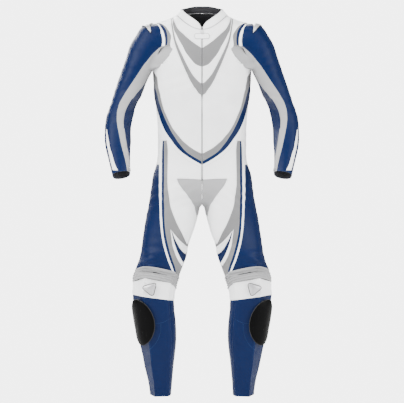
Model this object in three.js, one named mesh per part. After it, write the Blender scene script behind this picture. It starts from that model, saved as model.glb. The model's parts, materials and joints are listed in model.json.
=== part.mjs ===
import * as THREE from 'three';

// A one-piece leather race suit, filled out as when worn, with nobody in it. Sizes are in millimetres.
// X runs to the wearer's left, Y to the back and Z up; the origin is inside the base of the neck.
const WALL = 2;
const SEAM_GAP = 0.3;
const ZIP_HALF = 2.3;        // from the centre line to the front panels' edge, where the zip runs
const ZIP_BOTTOM = -593;
const NECK_HALF = 94;
const ROUNDING = 2.3;        // a section's power: 2 is an ellipse, more is squarer
const BLEND = 9;             // how softly two tubes run into each other at the armpit and the crotch
const PIPE_TOP = -428;       // where the stripes of the hip start

// The hollow body as level sections: the tubes of torso, arm and leg, each from side to side and front to back
const TORSO = table(['z', 'inner', 'outer', 'front', 'back'], [
  [40, -74, 74, -26, 58], [17, -94, 94, -42, 66], [0, -130, 130, -62, 82], [-9, -149, 149, -70, 88],
  [-35, -160, 160, -84, 99], [-75, -168, 168, -102, 112], [-120, -173, 173, -113, 120],
  [-185, -178, 178, -119, 124], [-229, -179.5, 179.5, -119, 123], [-274, -178, 178, -117, 120],
  [-318, -170, 170, -113, 116], [-363, -166, 166, -108, 111], [-407, -163, 163, -104, 107],
  [-496, -163, 163, -101, 108], [-540, -166.5, 166.5, -102, 114], [-585, -176, 176, -104, 122],
  [-630, -170, 170, -98, 118], [-660, -130, 130, -72, 90], [-682, -70, 70, -36, 46], [-694, -22, 22, -8, 20],
]);
const ARM = table(['z', 'inner', 'outer', 'front', 'back'], [
  [-8, 146, 154, -3, 21], [-13, 132, 172, -24, 40], [-27, 120, 224, -46, 58], [-52, 120, 240, -57, 68],
  [-96, 130, 266, -64, 72], [-141, 152, 281, -66, 70], [-185, 184, 296, -66, 68], [-229, 207, 311, -65, 64],
  [-274, 222, 326, -64, 60], [-318, 244, 340, -65, 55], [-363, 255, 355, -68, 46], [-407, 263, 359, -77, 34],
  [-451, 263, 359, -90, 17], [-496, 267, 351, -102, 0], [-540, 267, 340, -115, -20], [-600, 264, 327, -132, -48],
  [-640, 262, 322, -146, -66],
]);
const LEG = table(['z', 'inner', 'outer', 'front', 'back'], [
  [-500, 40, 130, -40, 60], [-560, 16, 168, -86, 98], [-607, 9, 181, -98, 124], [-651, 8, 192, -102, 130],
  [-696, 11, 200, -102, 128], [-740, 20, 209, -103, 118], [-784, 33, 216, -103, 108], [-829, 50, 222, -103, 98],
  [-873, 59, 229, -104, 88], [-918, 74, 243, -106, 74], [-962, 89, 255, -106, 64], [-1006, 100, 257, -103, 60],
  [-1051, 104, 254, -94, 62], [-1095, 100, 248, -84, 68], [-1140, 96, 240, -76, 72], [-1184, 96, 233, -68, 74],
  [-1228, 100, 222, -58, 74], [-1273, 105, 215, -46, 74], [-1317, 109, 203, -32, 76], [-1362, 111, 196, -18, 78],
  [-1400, 116, 190, -8, 80],
]);

// Seams of the front as drawn on one half: from the shoulder (or the side) to the centre line
const NECK = seam([[94, 17], [77, 2], [61, -11], [46, -21], [31, -29], [15, -33.5], [ZIP_HALF, -35]]);
const YOKE_V = seam([[107, 5], [91, -30], [68.5, -52], [44, -74], [26, -87], [ZIP_HALF, -103]]);
const YOKE_U = seam([[110, 3], [104, -35], [96, -52], [85, -74], [72, -96], [61, -118], [44, -141], [24, -163],
  [ZIP_HALF, -172]]);
const CHEST_V = seam([[112.5, 1.5], [101, -60], [89, -96], [68, -141], [45.5, -185], [31.5, -207], [12, -228],
  [ZIP_HALF, -235]]);
const CHEST_POINT = seam([[116, 0], [107, -60], [98, -96], [81, -141], [62, -185], [41, -229], [26, -252],
  [ZIP_HALF, -284]]);
const ARMHOLE = table(['z', 'front', 'back'], [
  [-9, 149, 149], [-20, 139, 143], [-36, 126, 137], [-56, 115, 134], [-77, 116, 133], [-98, 116, 134],
  [-108, 105, 136], [-128, 118, 142], [-150, 136, 152], [-168, 154, 165], [-180, 168, 175], [-187, 183, 183],
]);
const OVAL_TOP = table(['z', 'x'], [
  [-187, 177], [-207, 167], [-252, 161], [-274, 155], [-296, 150], [-318, 145], [-340, 137], [-363, 127],
  [-385, 117], [-407, 104], [-429, 87], [-451, 67], [-474, 39], [-494, ZIP_HALF],
]);
const OVAL_MIDDLE = seam([[172, -245], [166.5, -274], [161, -296], [147, -340], [128, -385], [104, -429], [72, -474],
  [48, -496], [ZIP_HALF, -523]]);
const OVAL_BOTTOM = seam([[170, -318], [157, -363], [139, -407], [109, -451], [91, -474], [65, -496], [33, -518],
  [ZIP_HALF, -535]]);
const SIDE_STEPS = [-208, -232, -260, -289, -318];    // the torso's side seam, from the armpit to the waist
const OVAL_STEPS = 8;                // steps of the oval's lower seam from the side to the zip

// Where the sleeve's and the leg's stripes run: how far out each edge is, as drawn
const SHOULDER_EDGE = table(['z', 'x'], [
  [-13, 165], [-24, 159], [-40, 153.5], [-58, 149.5], [-78, 147], [-98, 150],
]);
const SLEEVE_OUTER = table(['z', 'x'], [
  [-98, 150], [-118, 176], [-141, 194], [-163, 213], [-185, 228], [-229, 257], [-274, 287], [-318, 309],
  [-363, 316], [-407, 310], [-451, 301], [-496, 290.5], [-540, 279], [-575, 274],
]);
const SLEEVE_INNER = table(['z', 'x'], [
  [-215, 199], [-252, 224], [-296, 259], [-340, 281], [-385, 287.5], [-429, 283], [-474, 276], [-518, 268.5],
  [-575, 266],
]);
const GREY_INNER = table(['z', 'x'], [
  [PIPE_TOP, 139], [-460, 127], [-500, 126.5], [-599, 128], [-629, 125.5], [-659, 121], [-688, 117.5],
  [-718, 107], [-747, 95.5], [-777, 81], [-800, 68], [-826, 57], [-858, 60],
]);
const BLUE_INNER = table(['z', 'x'], [
  [PIPE_TOP, 141.5], [-560, 140.5], [-640, 141.5], [-700, 140], [-747, 139], [-777, 136.5], [-807, 132],
  [-836, 125], [-866, 117], [-895, 107.5], [-925, 96], [-950, 92],
]);
const WHITE_INNER = table(['z', 'x'], [
  [PIPE_TOP, 144], [-480, 148], [-560, 149], [-640, 150], [-700, 149.5], [-747, 147], [-777, 145],
  [-807, 141], [-836, 134.5], [-866, 126.5], [-895, 116.5], [-925, 104], [-950, 99],
]);
const WHITE_OUTER = table(['z', 'x'], [
  [PIPE_TOP, 156], [-480, 158.5], [-640, 159.5], [-700, 157], [-747, 155], [-777, 152.5], [-807, 148.5],
  [-836, 142.5], [-866, 134], [-895, 124.5], [-925, 111], [-950, 106],
]);
const CROTCH_EDGE = table(['z', 'x'], [[-583, 95], [-606, 86], [-638, 62], [-668, 41], [-693, 27], [-722, 20]]);
const CROTCH_TOP = -575;             // rows between these heights have a point on the crotch insert's edge
const CROTCH_END = -735;
const FORK = -690;                   // above it the legs' rows meet at the centre line, and below it are rings
const STRIPES_END = -928;            // below it the columns of the stripes keep these angles
const ANGLES_BELOW = [-52, -44, -34];
const GREY_DRAWN_TO = -840;          // below it the grey stripe's edge turns evenly to the inseam
const GREY_SWEEP = { start: -78, end: -60, height: 100 };

// The leg's level rows below the waist: how high each runs at the inseam, front, outside and back
const LEG_ROWS = table(['inner', 'front', 'outer', 'back'], [
  [-548, -548, -548, -548], [-568, -568, -568, -568], [-590, -587, -590, -590], [-614, -612, -614, -614],
  [-638, -638, -638, -638], [-662, -662, -662, -662], [-680, -682, -684, -682], [-694, -706, -712, -706],
  [-722, -734, -740, -732], [-756, -764, -768, -760], [-790, -794, -796, -788], [-826, -824, -824, -816],
  [-860, -852, -852, -846], [-892, -880, -882, -878], [-922, -898, -904, -908],
]);
const RIB_TOP = [-952, -915, -921, -938];
const RIB_BOTTOM = [-996, -958, -968, -982];
const RIB_COUNT = 5;
const RIB_HEIGHT = 3.5;
const SHIN_ROWS = table(['inner', 'front', 'outer', 'back'], [
  [-1018, -992, -996, -1008], [-1038, -1030, -1016, -1030], [-1074, -1072, -1066, -1072],
  [-1114, -1114, -1110, -1112], [-1156, -1156, -1154, -1154], [-1198, -1200, -1198, -1196],
  [-1240, -1244, -1242, -1238], [-1284, -1290, -1286, -1280], [-1328, -1338, -1330, -1320],
  [-1384, -1395, -1386, -1370],
]);
const SLEEVE_ROWS = table(['inner', 'front', 'outer', 'back'], [
  [-187, -187, -187, -187], [-215, -215, -215, -215], [-246, -246, -246, -246], [-278, -278, -278, -278],
  [-310, -312, -312, -310], [-344, -346, -346, -344], [-378, -380, -380, -378], [-412, -414, -416, -412],
  [-448, -448, -452, -448], [-484, -480, -488, -486], [-524, -520, -530, -532], [-566, -560, -579, -588],
]);
const FRONT_TURN = -90;     // angles round a tube, in degrees: 0 faces front, 90 the outer side, 180 the back
const SIDE_TURN = 90;
const BACK_TURN = 270;
const BACK_STEPS = 6;       // columns from the outer side round the back to the inseam
const THIGH_BACK_STEPS = 2; // of which the outer thigh panel takes the first

const COLOURS = {
  white: material(0xf2f3f4, 0.45),
  blue: material(0x0b3a70, 0.42),
  grey: material(0xb2b2b3, 0.5),
  stretch: material(0xc1c1c2, 0.8),
  slider: material(0x1b1b1d, 0.4),
  cup: material(0xb9babc, 0.3, 0.6),
  metal: material(0x8d8f92, 0.3, 0.9),
};

function material(color, roughness, metalness = 0) {
  return new THREE.MeshStandardMaterial({ color, roughness, metalness });
}

function table(columns, rows) {
  return rows.map((row) => Object.fromEntries(columns.map((column, index) => [column, row[index]])));
}

function seam(points) {
  return new THREE.SplineCurve(points.map(([x, z]) => new THREE.Vector2(x, z)));
}

const mix = THREE.MathUtils.lerp;
const radians = THREE.MathUtils.degToRad;

// The value of a column at a height, on a smooth curve that never overshoots its rows
function read(rows, column, z) {
  let low = 0;
  while (low < rows.length - 2 && rows[low + 1].z > z) low += 1;
  const slope = (index) => (rows[index + 1][column] - rows[index][column]) / (rows[index + 1].z - rows[index].z);
  const tangent = (index) => {
    if (index === 0) return slope(0);
    if (index === rows.length - 1) return slope(index - 1);
    const [before, after] = [slope(index - 1), slope(index)];
    return before * after <= 0 ? 0 : (2 * before * after) / (before + after);
  };
  const [start, end] = [rows[low], rows[low + 1]];
  const step = end.z - start.z;
  const t = THREE.MathUtils.clamp((z - start.z) / step, 0, 1);
  return (2 * t ** 3 - 3 * t ** 2 + 1) * start[column] + (t ** 3 - 2 * t ** 2 + t) * step * tangent(low)
    + (3 * t ** 2 - 2 * t ** 3) * end[column] + (t ** 3 - t ** 2) * step * tangent(low + 1);
}

function section(rows, z) {
  const [inner, outer, front, back] = ['inner', 'outer', 'front', 'back'].map((name) => read(rows, name, z));
  return { x: (inner + outer) / 2, y: (front + back) / 2, wide: (outer - inner) / 2, deep: (back - front) / 2 };
}

function sectionValue({ x, y, wide, deep }, px, py) {
  const size = (Math.abs((px - x) / wide) ** ROUNDING + Math.abs((py - y) / deep) ** ROUNDING) ** (1 / ROUNDING);
  return (size - 1) * Math.min(wide, deep);
}

// Below 0 inside the filled garment, 0 on its outer face and above 0 outside
function field(x, y, z) {
  let sum = 0;
  const add = (rows, px) => {
    if (z > rows[0].z || z < rows[rows.length - 1].z) return;
    sum += Math.exp(-sectionValue(section(rows, z), px, y) / BLEND);
  };
  add(TORSO, x);
  add(ARM, Math.abs(x));
  add(LEG, x);
  add(LEG, -x);
  return sum > 0 ? -BLEND * Math.log(sum) : 1000;
}

function crossing(from, direction, far, step) {
  const at = (distance) => field(from.x + direction.x * distance, from.y + direction.y * distance,
    from.z + direction.z * distance);
  const startsInside = at(0) <= 0;
  let reach = step;
  while (reach < far && (at(reach) <= 0) === startsInside) reach += step;
  if (reach >= far) return null;
  let [low, high] = [reach - step, reach];
  for (let turn = 0; turn < 22; turn += 1) {
    const middle = (low + high) / 2;
    if ((at(middle) <= 0) === startsInside) low = middle;
    else high = middle;
  }
  return from.clone().addScaledVector(direction, low);
}

// The point of the surface seen straight from the front or, with side 1, from the back
function seen(x, z, side = -1) {
  const start = new THREE.Vector3(x, side * 220, z);
  const rows = z < TORSO[TORSO.length - 1].z ? LEG : Math.abs(x) > 190 ? ARM : TORSO;
  return crossing(start, new THREE.Vector3(0, -side, 0), 260, 4) ?? new THREE.Vector3(x, section(rows, z).y, z);
}

// The point of the surface at an angle round a tube's middle
function around(rows, z, turn) {
  const { x, y, wide, deep } = section(rows, z);
  const direction = new THREE.Vector3(Math.sin(radians(turn)), -Math.cos(radians(turn)), 0);
  const own = 1 / (Math.abs(direction.x / wide) ** ROUNDING + Math.abs(direction.y / deep) ** ROUNDING)
    ** (1 / ROUNDING);
  const start = new THREE.Vector3(x, y, z).addScaledVector(direction, own * 0.9);
  const point = crossing(start, direction, own * 0.1 + (rows === LEG ? 90 : 24), 3)
    ?? start.addScaledVector(direction, own * 0.1 + 2);
  if (rows === LEG && point.x < 0) point.x = 0;
  return point;
}

function turnOf(rows, point, least = -180) {
  const { x, y } = section(rows, point.z);
  const turn = THREE.MathUtils.radToDeg(Math.atan2(point.x - x, -(point.y - y)));
  return turn < least ? turn + 360 : turn;
}

// The outward direction of the surface; at the armpit the torso's panels and the sleeve's lean apart
function outward(point, armpitSide = 1) {
  if (point === armpit) return new THREE.Vector3(armpitSide, 0, -1).normalize();
  const step = 0.5;
  const slope = ['x', 'y', 'z'].map((axis) => {
    const [ahead, behind] = [point.clone(), point.clone()];
    ahead[axis] += step;
    behind[axis] -= step;
    return field(ahead.x, ahead.y, ahead.z) - field(behind.x, behind.y, behind.z);
  });
  return new THREE.Vector3(...slope).normalize();
}

// A closed wall over chosen cells of a grid of surface points. Its edge keeps half the seam's gap, raise moves
// the whole wall out and lift raises single points of its outer face.
function wall(name, colour, grid, inCell, options = {}) {
  const { lift = () => 0, thick = WALL, raise = 0 } = options;
  const { directions = (row, column) => outward(grid[row][column], options.armpitSide) } = options;
  const points = new Map();
  const normals = new Map();
  const key = (row, column) => {
    const label = grid[row][column].toArray().map((value) => value.toFixed(3)).join();
    if (!points.has(label)) {
      points.set(label, { at: grid[row][column], row, column });
      normals.set(label, directions(row, column));
    }
    return label;
  };
  const cells = [];
  for (let row = 0; row < grid.length - 1; row += 1) {
    for (let column = 0; column < grid[0].length - 1; column += 1) {
      if (!inCell(row, column)) continue;
      cells.push([key(row, column), key(row + 1, column), key(row + 1, column + 1), key(row, column + 1)]);
    }
  }
  const place = (id) => points.get(id).at;
  const facing = cells.reduce((sum, [a, b, c, d]) => {
    const face = new THREE.Vector3().crossVectors(place(c).clone().sub(place(a)), place(d).clone().sub(place(b)));
    return sum + face.dot(normals.get(a));
  }, 0);
  if (facing < 0) cells.forEach((cell) => cell.reverse());

  const edges = new Map();
  for (const cell of cells) {
    cell.forEach((a, index) => {
      const b = cell[(index + 1) % 4];
      if (a === b) return;
      if (edges.has(`${b} ${a}`)) edges.delete(`${b} ${a}`);
      else edges.set(`${a} ${b}`, [a, b]);
    });
  }
  const inset = new Map();
  for (const [a, b] of edges.values()) {
    const along = place(b).clone().sub(place(a)).normalize();
    for (const id of [a, b]) {
      const inwards = new THREE.Vector3().crossVectors(normals.get(id), along).normalize();
      inset.set(id, [...(inset.get(id) ?? []), inwards]);
    }
  }
  const outer = new Map();
  const inner = new Map();
  for (const [id, { at, row, column }] of points) {
    const moved = at.clone();
    if (inset.has(id)) {
      const [one, two = one] = inset.get(id);
      const sum = one.clone().add(two);
      moved.addScaledVector(sum, SEAM_GAP / Math.max(sum.lengthSq(), 0.8));
    }
    outer.set(id, moved.clone().addScaledVector(normals.get(id), raise + lift(row, column)));
    inner.set(id, moved.clone().addScaledVector(normals.get(id), raise - thick));
  }
  const positions = [];
  const triangle = (...corners) => {
    if (new Set(corners).size === 3) corners.forEach((point) => positions.push(...point.toArray()));
  };
  for (const [a, b, c, d] of cells) {
    const across = place(a).distanceTo(place(c)) > place(b).distanceTo(place(d)) || a === c;
    for (const [first, second, third] of across ? [[a, b, d], [b, c, d]] : [[a, b, c], [a, c, d]]) {
      triangle(outer.get(first), outer.get(second), outer.get(third));
      triangle(inner.get(first), inner.get(third), inner.get(second));
    }
  }
  // Both sides of a seam split their edge faces along the same diagonal, from its higher end
  for (const [a, b] of edges.values()) {
    const high = place(a).z === place(b).z ? place(a).x > place(b).x : place(a).z > place(b).z;
    if (high) {
      triangle(outer.get(b), outer.get(a), inner.get(b));
      triangle(outer.get(a), inner.get(a), inner.get(b));
    } else {
      triangle(outer.get(b), outer.get(a), inner.get(a));
      triangle(outer.get(b), inner.get(a), inner.get(b));
    }
  }
  return mesh(name, colour, positions);
}

function mesh(name, colour, positions) {
  const geometry = new THREE.BufferGeometry();
  geometry.setAttribute('position', new THREE.Float32BufferAttribute(positions, 3));
  geometry.computeVertexNormals();
  const made = new THREE.Mesh(geometry, COLOURS[colour]);
  made.name = name;
  return made;
}

// The same piece for the wearer's right side
function mirrored(piece) {
  const source = piece.geometry.getAttribute('position');
  const positions = [];
  for (let corner = 0; corner < source.count; corner += 3) {
    for (const index of [corner, corner + 2, corner + 1]) {
      positions.push(-source.getX(index), source.getY(index), source.getZ(index));
    }
  }
  const copy = mesh(piece.name.replace(/_L$/, '_R'), 'white', positions);
  copy.material = piece.material;
  return copy;
}

// Height of the shoulder's ridge, where the front meets the back
function ridge(x) {
  let [low, high] = [-12.6, 40];
  for (let turn = 0; turn < 24; turn += 1) {
    const middle = (low + high) / 2;
    if (read(TORSO, 'outer', middle) > x) low = middle;
    else high = middle;
  }
  return around(TORSO, low, SIDE_TURN);
}

// Points between two surface points, at even angles round a tube
function between(rows, start, end, steps, least) {
  const [first, last] = [turnOf(rows, start, least), turnOf(rows, end, least)];
  return Array.from({ length: steps + 1 }, (_, index) => {
    if (index === 0) return start;
    if (index === steps) return end;
    return around(rows, mix(start.z, end.z, index / steps), mix(first, last, index / steps));
  });
}

const joinRows = (...parts) => parts.flatMap((part, index) => (index === 0 ? part : part.slice(1)));

// The front of the torso: every row runs from the neck seam out to the armhole, the side or the oval
const armholeRows = ARMHOLE.length - 1;
const frontRows = armholeRows + SIDE_STEPS.length + OVAL_STEPS;

function frontPoint(curve, row) {
  const { x, y } = curve.getPointAt(row / frontRows);
  return row === 0 ? ridge(x) : seen(x, y);
}

const sidePoint = (z) => around(TORSO, z, SIDE_TURN);

function ovalPoint(curve, row, firstRow) {
  const { x, y } = curve.getPointAt((row - firstRow) / (frontRows - firstRow));
  return seen(x, y);
}

const ovalTop = seam(OVAL_TOP.map(({ z, x }) => [x, z]));
const armpit = new THREE.Vector3(ARMHOLE[armholeRows].front, section(TORSO, ARMHOLE[armholeRows].z).y,
  ARMHOLE[armholeRows].z);

function outerFront(row) {
  if (row === 0) return ridge(ARMHOLE[0].front);
  if (row < armholeRows) return seen(ARMHOLE[row].front, ARMHOLE[row].z);
  return row === armholeRows ? armpit : ovalPoint(ovalTop, row, armholeRows);
}

const middleStart = armholeRows + 2;
const bottomStart = armholeRows + SIDE_STEPS.length;

function ovalMiddle(row) {
  if (row <= armholeRows) return outerFront(row);
  if (row <= middleStart) return sidePoint(SIDE_STEPS[row - armholeRows - 1]);
  return ovalPoint(OVAL_MIDDLE, row, middleStart);
}

function ovalBottom(row) {
  if (row <= middleStart) return ovalMiddle(row);
  if (row <= bottomStart) return sidePoint(SIDE_STEPS[row - armholeRows - 1]);
  return ovalPoint(OVAL_BOTTOM, row, bottomStart);
}

const FRONT_STEPS = [2, 2, 1, 1, 4, 1, 1];
const frontGrid = Array.from({ length: frontRows + 1 }, (_, row) => {
  const marks = [frontPoint(NECK, row), frontPoint(YOKE_V, row), frontPoint(YOKE_U, row),
    frontPoint(CHEST_V, row), frontPoint(CHEST_POINT, row), outerFront(row), ovalMiddle(row), ovalBottom(row)];
  return joinRows(...FRONT_STEPS.map((steps, index) => between(TORSO, marks[index], marks[index + 1], steps)));
});
const frontMarks = FRONT_STEPS.reduce((marks, steps) => [...marks, marks[marks.length - 1] + steps], [0]);

function frontPanel(name, colour, index, firstRow = 0) {
  const inCell = (row, column) => row >= firstRow && column >= frontMarks[index] && column < frontMarks[index + 1];
  return wall(name, colour, frontGrid, inCell);
}

// The hips and legs: every row runs from the zip, or the inseam, round the outside to the back
const CROTCH_COLUMN = 2;
const GREY_COLUMN = 4;
const SIDE_COLUMN = 9;

function onRow(rows, heights, turn) {
  const { inner, front, outer, back } = heights;
  const level = (inner + front + outer + back) / 4;
  const swing = ((front + back) - (inner + outer)) / 4;
  const angle = radians(turn);
  return level + ((outer - inner) / 2) * Math.sin(angle) + ((front - back) / 2) * Math.cos(angle)
    + swing * Math.cos(2 * angle);
}

// The angle round the tube where a row meets an edge that is drawn that far out
function drawnTurn(rows, heights, edge) {
  let turn = 0;
  for (let pass = 0; pass < 5; pass += 1) {
    const z = onRow(rows, heights, turn);
    turn = turnOf(rows, seen(read(edge, 'x', z), z));
  }
  return turn;
}

const evenly = (start, end, steps) => Array.from({ length: steps + 1 }, (_, step) => mix(start, end, step / steps));

function legTurns(heights) {
  const { inner, front: z } = heights;
  const start = inner > FORK ? turnOf(LEG, seen(0, inner), -135) : FRONT_TURN;
  const end = inner > FORK ? turnOf(LEG, seen(0, inner, 1), 45) : BACK_TURN;
  const drawn = (edge) => drawnTurn(LEG, heights, edge);
  const edges = z > STRIPES_END ? [BLUE_INNER, WHITE_INNER, WHITE_OUTER].map(drawn) : ANGLES_BELOW;
  const swept = Math.min(1, (GREY_DRAWN_TO - z) / GREY_SWEEP.height);
  const grey = z > GREY_DRAWN_TO ? drawn(GREY_INNER) : mix(GREY_SWEEP.start, GREY_SWEEP.end, swept);
  const head = inner < CROTCH_TOP && inner > CROTCH_END
    ? joinRows(evenly(start, drawn(CROTCH_EDGE), CROTCH_COLUMN),
      evenly(drawn(CROTCH_EDGE), grey, GREY_COLUMN - CROTCH_COLUMN))
    : evenly(start, grey, GREY_COLUMN);
  return [...head, ...edges, mix(edges[2], SIDE_TURN, 0.5), ...evenly(SIDE_TURN, end, BACK_STEPS)];
}

function ringRow(rows, heights, turns) {
  return turns.map((turn) => around(rows, onRow(rows, heights, turn), turn));
}

const STRIPE_EDGES = [GREY_INNER, BLUE_INNER, WHITE_INNER, WHITE_OUTER];
const stripesStarted = (z) => z < PIPE_TOP - 4;
const hipGrid = Array.from({ length: OVAL_STEPS }, (_, step) => {
  const start = ovalBottom(bottomStart + step);
  const z = start.z;
  const least = turnOf(TORSO, start);
  const [grey, blue, white, outer] = stripesStarted(z)
    ? STRIPE_EDGES.map((edge) => turnOf(TORSO, seen(read(edge, 'x', z), z)))
    : evenly(least, SIDE_TURN, 6).slice(1, 5);
  const turns = [...evenly(least, grey, GREY_COLUMN), blue, white, outer, mix(outer, SIDE_TURN, 0.5), SIDE_TURN];
  const row = step === 0 ? turns.map(() => start) : turns.map((turn) => around(TORSO, z, turn));
  row[0] = start;
  const rest = evenly(SIDE_TURN, 180, BACK_STEPS).slice(1).map((turn) => around(TORSO, z, turn));
  return [...row, ...rest];
});

const waistStart = ovalBottom(frontRows);
const waistHeights = { inner: waistStart.z, front: waistStart.z, outer: waistStart.z, back: waistStart.z };
const waist = [waistStart, ...ringRow(LEG, waistHeights, legTurns(waistHeights)).slice(1)];

const blendHeights = (top, bottom, share) => Object.fromEntries(
  ['inner', 'front', 'outer', 'back'].map((name, index) => [name, mix(top[index], bottom[index], share)]));
const ribRows = Array.from({ length: 2 * RIB_COUNT + 1 }, (_, step) => blendHeights(RIB_TOP, RIB_BOTTOM,
  step / (2 * RIB_COUNT)));
const lowerRows = [...LEG_ROWS, ...ribRows, ...SHIN_ROWS];
const legGrid = [...hipGrid, waist, ...lowerRows.map((heights) => {
  const row = ringRow(LEG, heights, legTurns(heights));
  if (heights.front > ZIP_BOTTOM) row[0] = seen(ZIP_HALF, heights.inner);
  return row;
})];

const waistRow = OVAL_STEPS;
const crotchTop = waistRow + 3;
const crotchBottom = waistRow + 9;
const ribTop = waistRow + LEG_ROWS.length + 1;
const ribBottom = ribTop + 2 * RIB_COUNT;
const shinTop = ribBottom + 2;
const greyEnd = waistRow + 12;
const backColumn = SIDE_COLUMN + THIGH_BACK_STEPS;
const pipeRow = hipGrid.findIndex((row) => stripesStarted(row[0].z));
const inBand = (value, low, high) => value >= low && value < high;

const inGrey = (row, column) => inBand(row, pipeRow, ribTop)
  && (column === GREY_COLUMN || (row >= greyEnd && column < GREY_COLUMN));
const inStripe = (row, column, stripe) => inBand(row, pipeRow, ribTop) && column === GREY_COLUMN + stripe;
const inCrotch = (row, column) => inBand(row, crotchTop, crotchBottom) && column < CROTCH_COLUMN;
const inThighBlue = (row, column) => inBand(row, waistRow, ribTop)
  && inBand(column, GREY_COLUMN + 3, backColumn);
const inSeat = (row, column) => inBand(row, waistRow, ribTop) && column >= backColumn;
const inThighFront = (row, column) => row < ribTop && column < SIDE_COLUMN && !inGrey(row, column)
  && !inStripe(row, column, 1) && !inStripe(row, column, 2) && !inCrotch(row, column)
  && !inThighBlue(row, column);
const inRibs = (row, column) => inBand(row, ribTop, ribBottom) && column < SIDE_COLUMN;
const inKnee = (row, column) => inBand(row, ribBottom, shinTop) && column < SIDE_COLUMN;
const inShin = (row, column) => row >= shinTop && column < SIDE_COLUMN;
const inCalf = (row, column) => row >= ribTop && column >= SIDE_COLUMN;
const ribLift = (row) => (inBand(row, ribTop, ribBottom + 1) && (row - ribTop) % 2 === 1 ? RIB_HEIGHT : 0);

// A point moved straight onto the surface
function project(point) {
  const moved = point.clone();
  for (let pass = 0; pass < 6; pass += 1) {
    const step = 0.5;
    const value = field(moved.x, moved.y, moved.z);
    const direction = outward(moved);
    const ahead = moved.clone().addScaledVector(direction, step);
    const slope = (field(ahead.x, ahead.y, ahead.z) - value) / step;
    moved.addScaledVector(direction, THREE.MathUtils.clamp(-value / Math.max(slope, 0.2), -15, 15));
  }
  return moved;
}

const span = (start, end, steps) => evenly(0, 1, steps).map((share) => {
  if (share === 0 || share === 1) return share === 0 ? start : end;
  return project(start.clone().lerp(end, share));
});

// The sleeve: rows run from the armhole's front, or the underarm, round the outside to its back
const STRETCH_COLUMNS = 3;
const OUTER_STEPS = 7;
const bandTop = ridge(SHOULDER_EDGE[0].x);
const armholeBack = (row) => (row === armholeRows ? armpit : seen(ARMHOLE[row].back, ARMHOLE[row].z, 1));
const bandRows = SHOULDER_EDGE.length - 1;
const bandEdge = (row, side) => (row === 0 ? bandTop : seen(SHOULDER_EDGE[row].x, SHOULDER_EDGE[row].z, side));

const bandGrid = [
  ...SHOULDER_EDGE.map((_, row) => bandRows - row)
    .map((row) => span(outerFront(row), bandEdge(row, -1), STRETCH_COLUMNS)),
  ...SHOULDER_EDGE.slice(1).map((_, row) => span(armholeBack(row + 1), bandEdge(row + 1, 1), STRETCH_COLUMNS)),
];
const overShoulder = (row) => between(ARM, bandEdge(row, -1), bandEdge(row, 1), OUTER_STEPS, FRONT_TURN);
const shoulderRows = SHOULDER_EDGE.slice(0, bandRows).map((_, row) => {
  const start = bandEdge(row, -1);
  const blue = row === 0 ? Array(OUTER_STEPS + 1).fill(start) : overShoulder(row);
  return [start, start, start, ...blue, bandEdge(row, 1)];
});
const insertRows = ARMHOLE.slice(bandRows, armholeRows).map(({ z }, index) => {
  const outer = seen(read(SLEEVE_OUTER, 'x', z), z);
  const end = armholeBack(bandRows + index);
  if (index === 0) return joinRows(bandGrid[0], [...overShoulder(bandRows), end]);
  return joinRows(between(ARM, outerFront(bandRows + index), outer, STRETCH_COLUMNS, -135),
    between(ARM, outer, end, OUTER_STEPS + 1, FRONT_TURN));
});
const lowerSleeve = SLEEVE_ROWS.map((heights, index) => {
  const outer = drawnTurn(ARM, heights, SLEEVE_OUTER);
  const inner = index === 0 ? mix(FRONT_TURN, outer, 0.35) : drawnTurn(ARM, heights, SLEEVE_INNER);
  const turns = [FRONT_TURN, inner, mix(inner, outer, 0.5), ...evenly(outer, BACK_TURN, OUTER_STEPS + 1)];
  const row = ringRow(ARM, heights, turns);
  if (index === 0) [row[0], row[row.length - 1]] = [armpit, armpit];
  return row;
});
const sleeveGrid = [...shoulderRows, ...insertRows, ...lowerSleeve];
const insertRow = shoulderRows.length;
const armpitRow = insertRow + insertRows.length;
const inStretch = (row, column) => row >= insertRow && inBand(column, row > armpitRow ? 1 : 0, STRETCH_COLUMNS);
const inSleeveOuter = (row, column) => column >= STRETCH_COLUMNS
  && (row >= insertRow || column < STRETCH_COLUMNS + OUTER_STEPS);

// The back is one panel from the neck and the shoulder seams down to the waist
const BACK_NECK = [62, 31];
const BACK_HALF = 6;
const BACK_ROWS = [...SIDE_STEPS, ...hipGrid.slice(1).map((row) => row[0].z)];
const backNeckPoint = (x) => seen(x, 24 - 7 * (x / NECK_HALF) ** 2, 1);
const mirror = (point) => new THREE.Vector3(-point.x, point.y, point.z);
const wholeRow = (half) => [...half, ...half.slice(0, -1).reverse().map(mirror)];
const backGrid = [
  wholeRow([...[149, 130, 112, NECK_HALF].map(ridge), ...[...BACK_NECK, 0].map(backNeckPoint)]),
  ...ARMHOLE.slice(1).map(({ z }, row) => between(TORSO, armholeBack(row + 1), seen(0, z, 1), BACK_HALF, 0))
    .map(wholeRow),
  ...BACK_ROWS.map((z) => wholeRow(between(TORSO, sidePoint(z), seen(0, z, 1), BACK_HALF, 0))),
  wholeRow(waist.slice(SIDE_COLUMN)),
];

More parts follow.
